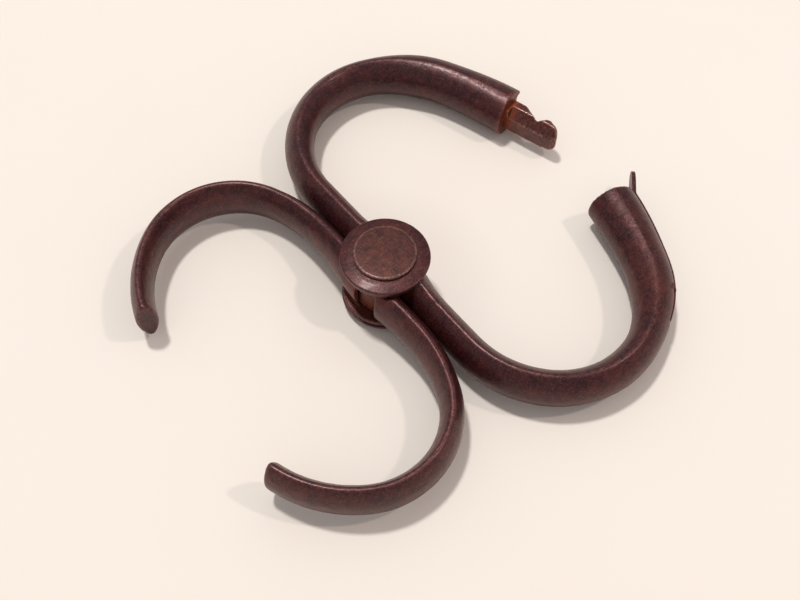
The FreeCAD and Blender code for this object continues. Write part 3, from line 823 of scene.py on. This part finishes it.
def flange(name, low, up):
    """A washer with a wide bevel down to a rounded rim; up is 1 above the cuffs and -1 below."""
    flat = HEAD_RADIUS + 1.2
    corners = [(PIN_RADIUS, 0.0), (FLANGE_RADIUS - 0.15, 0.0), (FLANGE_RADIUS, 0.12),
               (FLANGE_RADIUS, FLANGE_RIM - 0.15), (FLANGE_RADIUS - 0.2, FLANGE_RIM + 0.08),
               (flat, FLANGE_THICK - 0.12), (HEAD_RADIUS, FLANGE_THICK), (PIN_RADIUS, FLANGE_THICK)]
    profile = [(radius, low + up * height) for radius, height in corners]
    return remeshed(washer(name, profile), DISC_VOXEL, 2)


def tongue_pin(index, inset):
    x, y = tongue_pin_spot(inset)
    low, high = box_mm("tongue_pins")
    rings = []
    profile = [(0.01, low.z), (0.7, low.z + 0.08), (TONGUE_PIN_RADIUS - 0.05, low.z + 0.3),
               (TONGUE_PIN_RADIUS, low.z + 0.5), (TONGUE_PIN_RADIUS, high.z)]
    for radius, height in profile:
        rings.append([(x + dx, y + dy, height)
                      for dx, dy in (polar(radius, 10 * step) for step in range(36))])
    return remeshed(tube("tongue_pin_%d" % index, rings), PIN_VOXEL, 2)


def latch_pin():
    """The lever's pin, let into the arm; the outer half of each end stands a little out of the flank."""
    half = LATCH_PIN_HALF
    return drum("lever_pin", LATCH_PIN_RADIUS, MID_Z - half, MID_Z + half, KNUCKLE, 32)


# ---------------------------------------------------------------- materials


class Graph:
    """A small helper that adds nodes and joins them."""

    def __init__(self, name):
        self.material = bpy.data.materials.new(name)
        self.material.use_nodes = True
        self.tree = self.material.node_tree
        self.tree.nodes.clear()

    def add(self, kind, inputs=(), **settings):
        node = self.tree.nodes.new(kind)
        for key, value in settings.items():
            setattr(node, key, value)
        for key, value in dict(inputs).items():
            if isinstance(value, bpy.types.NodeSocket):
                self.tree.links.new(value, node.inputs[key])
            else:
                node.inputs[key].default_value = value
        return node

    def scaled(self, place, factors):
        return self.add("ShaderNodeVectorMath", {0: place, 1: factors}, operation="MULTIPLY").outputs[0]

    def millimetres(self):
        return self.scaled(self.add("ShaderNodeTexCoord").outputs["Object"], (1 / MM,) * 3)

    def cloud(self, place, scale, detail=4.0, rough=0.55, twist=0.0):
        return self.add("ShaderNodeTexNoise", {"Vector": place, "Scale": scale, "Detail": detail,
                                               "Roughness": rough, "Distortion": twist}).outputs[0]

    def ramp(self, value, low, high, out_low=0.0, out_high=1.0):
        return self.add("ShaderNodeMapRange", {"Value": value, "From Min": low, "From Max": high,
                                               "To Min": out_low, "To Max": out_high}).outputs[0]

    def maths(self, operation, first, second):
        return self.add("ShaderNodeMath", {0: first, 1: second}, operation=operation).outputs[0]

    def blend(self, amount, first, second):
        node = self.add("ShaderNodeMix", data_type="RGBA")
        for socket, value in ((0, amount), (6, first), (7, second)):
            if isinstance(value, bpy.types.NodeSocket):
                self.tree.links.new(value, node.inputs[socket])
            else:
                node.inputs[socket].default_value = value
        return node.outputs[2]

    def value(self, name):
        return self.add("ShaderNodeAttribute", attribute_name=name).outputs["Fac"]

    def finish(self, colour, roughness, normal, metallic, coat):
        shader = self.add("ShaderNodeBsdfPrincipled", {
            "Base Color": colour, "Roughness": roughness, "Normal": normal, "Metallic": metallic,
            "Specular Tint": (1.0, 0.8, 0.78, 1.0), "Coat Weight": coat, "Coat Roughness": 0.2})
        output = self.add("ShaderNodeOutputMaterial")
        self.tree.links.new(shader.outputs[0], output.inputs[0])
        return self.material


def rgb(red, green, blue):
    """A screen colour, 0 to 255, as linear light."""
    def linear(part):
        part /= 255
        return part / 12.92 if part <= 0.04045 else ((part + 0.055) / 1.055) ** 2.4
    return linear(red), linear(green), linear(blue), 1.0


def browned_iron(name, dark, warm, worn, rust_level, gloss):
    """Old browned iron: mottled oxide, reddish patches, light edges (wear and painted highlight), light
    specks (mottling and partly painted highlight), fine pits and a waxy sheen.
    """
    graph = Graph(name)
    place = graph.millimetres()
    broad = graph.cloud(place, 0.07, 3.0, 0.5, 0.4)
    patch = graph.cloud(place, 0.33, 5.0, 0.62, 0.6)
    fine = graph.cloud(place, 1.6, 4.0, 0.7)
    grain = graph.cloud(place, 5.0, 3.0, 0.6)
    edge = graph.value("edge")
    rust = graph.value("rust")
    hollow = graph.value("hollow")
    colour = graph.blend(graph.ramp(patch, 0.38, 0.66), dark, warm)
    stretched = graph.scaled(place, (0.25, 3.4, 1.0))
    layers = (
        (broad, 0.45, 0.7, 0.45, rgb(42, 22, 30)),
        (fine, 0.5, 0.7, 0.5, rgb(108, 56, 42)),
        (grain, 0.52, 0.68, 0.5, rgb(24, 14, 17)),
        (graph.cloud(stretched, 1.3, 2.0), 0.6, 0.7, 0.22, worn),
        # Light olive specks everywhere: mottling that also stands in for speckled highlights, a painted
        # highlight.
        (graph.cloud(place, 2.7, 3.0, 0.66), 0.56, 0.68, 0.3, rgb(128, 96, 76)),
    )
    for pattern, low, high, strength, tint in layers:
        amount = graph.maths("MULTIPLY", graph.ramp(pattern, low, high), strength)
        colour = graph.blend(amount, colour, tint)
    # Light worn colour on convex edges: rubbed wear, and also a painted highlight along crests, rims and
    # the nib.
    rubbed_and_highlight = graph.maths("MULTIPLY", edge, graph.ramp(fine, 0.36, 0.58))
    colour = graph.blend(graph.maths("MULTIPLY", rubbed_and_highlight, 0.55), colour, worn)
    placed_rust = graph.maths("MULTIPLY", rust, graph.ramp(patch, 0.3, 0.56, 0.35, 1.0))
    strewn_rust = graph.maths("MULTIPLY", graph.ramp(fine, 0.62, 0.78), rust_level)
    rust_spots = graph.maths("MAXIMUM", placed_rust, strewn_rust)
    rust_colour = graph.blend(graph.ramp(grain, 0.4, 0.62), rgb(108, 48, 28), rgb(168, 84, 36))
    colour = graph.blend(rust_spots, colour, rust_colour)
    # Concave hollows are darkened towards a near-black brown.
    colour = graph.blend(graph.maths("MULTIPLY", hollow, 0.6), colour, rgb(26, 17, 18))
    rough = graph.ramp(fine, 0.3, 0.7, gloss - 0.07, gloss + 0.12)
    rough = graph.maths("ADD", rough, graph.maths("MULTIPLY", rust_spots, 0.28))
    rough = graph.maths("SUBTRACT", rough, graph.maths("MULTIPLY", rubbed_and_highlight, 0.1))
    pits = graph.ramp(graph.cloud(place, 2.4, 2.0, 0.5), 0.58, 0.72, 0.0, -1.0)
    height = graph.maths("ADD", graph.maths("MULTIPLY", fine, 0.6), graph.maths("MULTIPLY", grain, 0.35))
    height = graph.maths("ADD", height, graph.maths("MULTIPLY", pits, 0.55))
    bump = graph.add("ShaderNodeBump", {"Height": height, "Strength": 0.55, "Distance": 0.00009}).outputs[0]
    coat = graph.ramp(rust_spots, 0.0, 0.6, 0.12, 0.0)
    return graph.finish(colour, rough, bump, 0.35, coat)


def cloth_floor():
    """A pale matt cloth with a faint weave."""
    graph = Graph("pale_cloth")
    place = graph.millimetres()
    threads = graph.cloud(graph.scaled(place, (2.2, 0.25, 1.0)), 1.0, 2.0)
    tone = graph.blend(graph.cloud(place, 0.012, 2.0), rgb(247, 238, 228), rgb(251, 245, 237))
    tone = graph.blend(graph.maths("MULTIPLY", threads, 0.05), tone, rgb(228, 214, 202))
    bump = graph.add("ShaderNodeBump", {"Height": threads, "Strength": 0.12, "Distance": 0.0001}).outputs[0]
    return graph.finish(tone, 0.9, bump, 0.0, 0.0)


# Each third colour is the light worn colour of rubbed edges, which also paints highlights on them.
IRON = {
    "browned_iron": browned_iron(
        "browned_iron_bow", rgb(46, 12, 22), rgb(82, 34, 36), rgb(146, 100, 98), 0.1, 0.34),
    "rubbed_iron": browned_iron(
        "rubbed_iron_pivot", rgb(46, 18, 22), rgb(82, 38, 30), rgb(158, 120, 108), 0.12, 0.38),
    "rusted_steel": browned_iron(
        "rusted_steel_tongue", rgb(64, 30, 32), rgb(94, 46, 40), rgb(206, 162, 146), 0.3, 0.24),
    "spring_steel": browned_iron(
        "spring_steel_dull", rgb(56, 40, 42), rgb(80, 56, 52), rgb(150, 126, 120), 0.15, 0.34),
}


ARM_END_RADIUS = 50
RUST_PATCH = (50, -47)


def dressed(piece, slot, low=0.02, high=0.16, rust=None):
    """Give a piece its surface values and its material."""
    places = edge_values(piece, low, high)
    if rust is None:
        point_values(piece, "rust", np.zeros(len(places)))
    else:
        point_values(piece, "rust", rust(places))
    piece.data.materials.clear()
    piece.data.materials.append(IRON[slot])
    for polygon in piece.data.polygons:
        polygon.use_smooth = True
    return piece


def bow_rust(places):
    """Rust round the tongue's root, inside the fork and in a faint patch on the socket arm."""
    x, y, z = places.T
    radius = np.hypot(x, y)
    angle = np.degrees(np.arctan2(y, x))
    near_face = np.clip(1 - (angle - FACE_ANGLE) * math.radians(1) * LOCK_RADIUS / 1.6, 0, 1)
    near_tongue = np.clip(1.35 - np.hypot(radius - LOCK_RADIUS, z - MID_Z) / 6, 0, 1)
    face = near_face * (y > 0) * (radius > ARM_END_RADIUS) * near_tongue
    between_ears = np.clip((EYE_HALF + 0.4 - np.abs(z - MID_Z)) / 0.5, 0, 1)
    fork = 0.4 * np.clip((12.5 - radius) / 3.0, 0, 1) * between_ears
    patch_x, patch_y = RUST_PATCH
    patch = 0.12 * np.exp(-((x - patch_x) ** 2 + (y - patch_y) ** 2) / 60)
    return np.clip(np.maximum(np.maximum(face, fork), patch), 0, 1)


def tongue_rust(places):
    """Rust that thins out from the tongue's root to its nib."""
    angle = np.degrees(np.arctan2(places[:, 1], places[:, 0]))
    out = (FACE_ANGLE - angle) * math.radians(1) * LOCK_RADIUS
    return np.clip(1 - (out - 0.3) / 4.0, 0.05, 1)


def disc_rust(places):
    """Rust on the flat of a disc, less at its rubbed rim."""
    radius = np.hypot(places[:, 0], places[:, 1])
    return np.clip(0.1 - radius / 120, 0, 1)


# ---------------------------------------------------------------- pieces on the frame


def riding(piece, body, *nodes):
    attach(piece, body)
    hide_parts(*nodes)


inner = dented(cleared(inner_bow()), 0.05, 0.06, 0.1, 1)
riding(dressed(inner, "browned_iron", rust=bow_rust), "inner", "inner_bow")
fork = dented(cleared(fork_bow()), 0.05, 0.06, 0.1, 2)
riding(dressed(fork, "browned_iron", rust=bow_rust), "fork", "fork_bow")

tongue_piece = dented(tongue(), 0.03, 0.08, 0.12, 3)
# Low edge thresholds spread the light worn colour over the nib's edges: wear, and a painted highlight.
riding(dressed(tongue_piece, "rusted_steel", 0.008, 0.06, tongue_rust), "inner", "tongue")
for index, inset in enumerate(TONGUE_PIN_INSETS, start=1):
    pin = dressed(tongue_pin(index, inset), "rusted_steel")
    riding(pin, "inner", "tongue_pins")

lever_piece = dented(lever(), 0.02, 0.05, 0.05, 4)
riding(dressed(lever_piece, "browned_iron"), "latch", "latch_lever")

riding(dressed(latch_pin(), "browned_iron"), "fork", "latch_pivot_pin")

head = dented(rivet_head(), 0.04, 0.05, 0.05, 5)
# Low edge thresholds spread the light worn colour round the head's rim: wear, and a painted highlight.
riding(dressed(head, "rubbed_iron", 0.004, 0.04, disc_rust), "fork", "pivot_pin")
collar = dented(riveted_collar(), 0.02, 0.04, 0.1, 6)
riding(dressed(collar, "rubbed_iron", rust=disc_rust), "fork", "pivot_collar")
top_flange = dented(flange("flange_top", TOP_Z - HEAD_THICK - FLANGE_THICK, 1), 0.03, 0.03, 0.03, 7)
riding(dressed(top_flange, "browned_iron", rust=disc_rust), "fork", "flange_washer_top")
low_flange = dented(flange("flange_bottom", HEAD_THICK + FLANGE_THICK, -1), 0.03, 0.03, 0.03, 8)
riding(dressed(low_flange, "browned_iron", rust=disc_rust), "fork", "flange_washer_bottom")

for row in frame["record"]["subparts"]:
    node = frame["nodes"][row["node"]]
    if not node.hide_render:
        node.data.materials.clear()
        node.data.materials.append(IRON[row["material_slot"]])

# ---------------------------------------------------------------- floor, light and camera

VIEW_AZIMUTH = -39.43
VIEW_ELEVATION = 58.84
VIEW_ROLL = 0.38
LENS = 49.41
SENSOR_WIDTH = 36.0
VIEW_DISTANCE = 282.0
VIEW_SHIFT = (-0.66, 1.17)
FLOOR_LEAN = 1.0
FLOOR_TOUCH_X = 60.0
FLOOR_TOUCH_Z = 3.5
FLOOR_LOW = -0.1
FLOOR_RADIUS = 2500.0
FLOOR_SPOKES = 96
DIMPLE_INSIDE = 10.5
DIMPLE_OUTSIDE = 34.0


def towards(azimuth, elevation):
    """The direction from the object to a place round it; azimuth 0 is at -Y."""
    turn = math.radians(azimuth)
    rise = math.radians(elevation)
    return Vector((math.sin(turn) * math.cos(rise), -math.cos(turn) * math.cos(rise), math.sin(rise)))


def floor_height(x, y):
    """The cloth's height: it bears the large arms' ends and gives way under the pivot's collar."""
    level = FLOOR_TOUCH_Z + math.tan(math.radians(FLOOR_LEAN)) * (x - FLOOR_TOUCH_X)
    part = min(1.0, max(0.0, (math.hypot(x, y) - DIMPLE_INSIDE) / (DIMPLE_OUTSIDE - DIMPLE_INSIDE)))
    rise = part * part * (3 - 2 * part)
    return level * rise + FLOOR_LOW * (1 - rise)


def make_floor():
    """A pale cloth, as rings about the pivot that are close together near it."""
    radii = [2.0 + step for step in range(44)] + [50, 58, 68, 80, 100, 150, 300, 800, FLOOR_RADIUS]
    points = [(0, 0, FLOOR_LOW)]
    faces = []
    for radius in radii:
        for step in range(FLOOR_SPOKES):
            x, y = polar(radius, 360 * step / FLOOR_SPOKES)
            points.append((x, y, floor_height(x, y)))
    for step in range(FLOOR_SPOKES):
        after = (step + 1) % FLOOR_SPOKES
        faces.append((0, 1 + step, 1 + after))
        for row in range(len(radii) - 1):
            near = 1 + row * FLOOR_SPOKES
            far = near + FLOOR_SPOKES
            faces.append((near + step, far + step, far + after, near + after))
    floor = new_piece("floor", points, faces)
    for polygon in floor.data.polygons:
        polygon.use_smooth = True
    floor.data.materials.append(cloth_floor())


def area_light(name, azimuth, elevation, distance, width, power, colour):
    light = bpy.data.lights.new(name, "AREA")
    light.shape = "DISK"
    light.size = width
    light.energy = power
    light.color = colour
    lamp = bpy.data.objects.new(name, light)
    place = towards(azimuth, elevation)
    lamp.location = place * distance + Vector((0, 0, MID_Z * MM))
    lamp.rotation_euler = place.to_track_quat("Z", "Y").to_euler()
    bpy.context.scene.collection.objects.link(lamp)


def make_lights():
    area_light("window_light", VIEW_AZIMUTH - 134, 75, 2.4, 0.24, 28.5, (1.0, 0.98, 0.95))
    area_light("lamp_light", VIEW_AZIMUTH + 88, 55, 1.6, 0.1, 3.7, (1.0, 0.86, 0.8))
    world = bpy.data.worlds.new("studio")
    world.use_nodes = True
    world.node_tree.nodes["Background"].inputs[0].default_value = (1.0, 0.955, 0.955, 1.0)
    world.node_tree.nodes["Background"].inputs[1].default_value = 0.45
    bpy.context.scene.world = world


def make_camera():
    """The camera's place follows from how far the pivot's middle lies from the middle of the sensor."""
    back = towards(VIEW_AZIMUTH, VIEW_ELEVATION)
    right = Vector((math.cos(math.radians(VIEW_AZIMUTH)), math.sin(math.radians(VIEW_AZIMUTH)), 0))
    up = back.cross(right)
    roll = Matrix.Rotation(math.radians(VIEW_ROLL), 3, back)
    right = roll @ right
    up = roll @ up
    ray = -back + right * (VIEW_SHIFT[0] / LENS) + up * (VIEW_SHIFT[1] / LENS)
    data = bpy.data.cameras.new("camera")
    data.sensor_width = SENSOR_WIDTH
    data.lens = LENS
    data.clip_start = 0.01
    data.clip_end = 20
    camera = bpy.data.objects.new("camera", data)
    turn = Matrix((right, up, back)).transposed().to_4x4()
    place = Vector((0, 0, MID_Z * MM)) - ray * (VIEW_DISTANCE * MM)
    camera.matrix_world = Matrix.Translation(place) @ turn
    bpy.context.scene.collection.objects.link(camera)
    bpy.context.scene.camera = camera


make_floor()
make_lights()
make_camera()
bpy.context.scene.view_settings.view_transform = "Standard"
